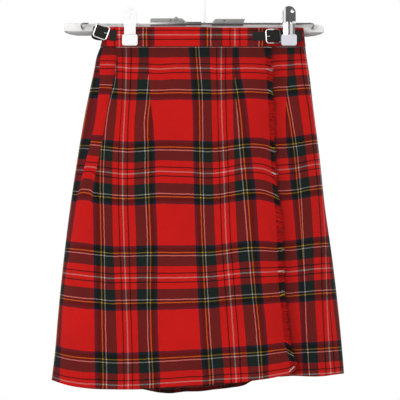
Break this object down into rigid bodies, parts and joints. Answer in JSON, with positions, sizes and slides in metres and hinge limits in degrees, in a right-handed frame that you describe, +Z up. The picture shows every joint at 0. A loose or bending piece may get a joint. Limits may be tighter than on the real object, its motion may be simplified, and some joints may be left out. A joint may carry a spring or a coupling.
{
  "type": "tartan wrap kilt on a clip hanger",
  "caption": "Red tartan wool wrap kilt with fringed apron, knife-pleated back and buckled straps, hung by two clips from a flat hanger.",
  "frame": {"origin": "inside of the hook's top, where the hanger hangs on a rail", "axes": "+Z up, +X to the wearer's left (the closing side), +Y to the wearer's back"},
  "size_m": [0.4964, 0.0977, 0.722],
  "materials": {
    "over_apron": "twilled wool in red tartan",
    "over_apron_fringe": "loose weft ends of the tartan wool",
    "under_apron": "twilled wool in red tartan",
    "back_pleats": "twilled wool in red tartan, pressed in knife pleats",
    "waistband_over": "folded tartan wool",
    "waistband_under": "folded tartan wool",
    "waistband_back": "folded tartan wool",
    "tab_right": "smooth black",
    "tab_left": "smooth black",
    "strap_right": "smooth black",
    "strap_left": "smooth black",
    "buckle_right": "polished",
    "buckle_left": "polished",
    "prong_right": "polished",
    "prong_left": "polished",
    "hanger_bar": "pale grey",
    "hanger_plate_left": "dull grey",
    "hanger_plate_right": "dull grey",
    "hanger_rod": "polished",
    "hanger_hook": "polished",
    "hook_collar": "polished",
    "clip_left_front_jaw": "polished",
    "clip_left_back_jaw": "polished",
    "clip_left_front_pad": "white",
    "clip_left_back_pad": "white",
    "clip_left_spring": "polished",
    "clip_right_front_jaw": "polished",
    "clip_right_back_jaw": "polished",
    "clip_right_front_pad": "white",
    "clip_right_back_pad": "white",
    "clip_right_spring": "polished"
  },
  "bodies": {
    "root": {"over_apron": "over_apron", "over_apron_fringe": "over_apron_fringe", "under_apron": "under_apron", "back_pleats": "back_pleats", "waistband_over": "waistband_over", "waistband_under": "waistband_under", "waistband_back": "waistband_back", "tab_right": "tab_right", "tab_left": "tab_left", "strap_right": "strap_right", "strap_left": "strap_left", "buckle_right": "buckle_right", "buckle_left": "buckle_left", "prong_right": "prong_right", "prong_left": "prong_left", "hanger_bar": "hanger_bar", "hanger_plate_left": "hanger_plate_left", "hanger_plate_right": "hanger_plate_right", "hanger_rod": "hanger_rod", "hanger_hook": "hanger_hook", "hook_collar": "hook_collar", "clip_left_front_jaw": "clip_left_front_jaw", "clip_left_back_jaw": "clip_left_back_jaw", "clip_left_front_pad": "clip_left_front_pad", "clip_left_back_pad": "clip_left_back_pad", "clip_left_spring": "clip_left_spring", "clip_right_front_jaw": "clip_right_front_jaw", "clip_right_back_jaw": "clip_right_back_jaw", "clip_right_front_pad": "clip_right_front_pad", "clip_right_back_pad": "clip_right_back_pad", "clip_right_spring": "clip_right_spring"}
  },
  "joints": []
}
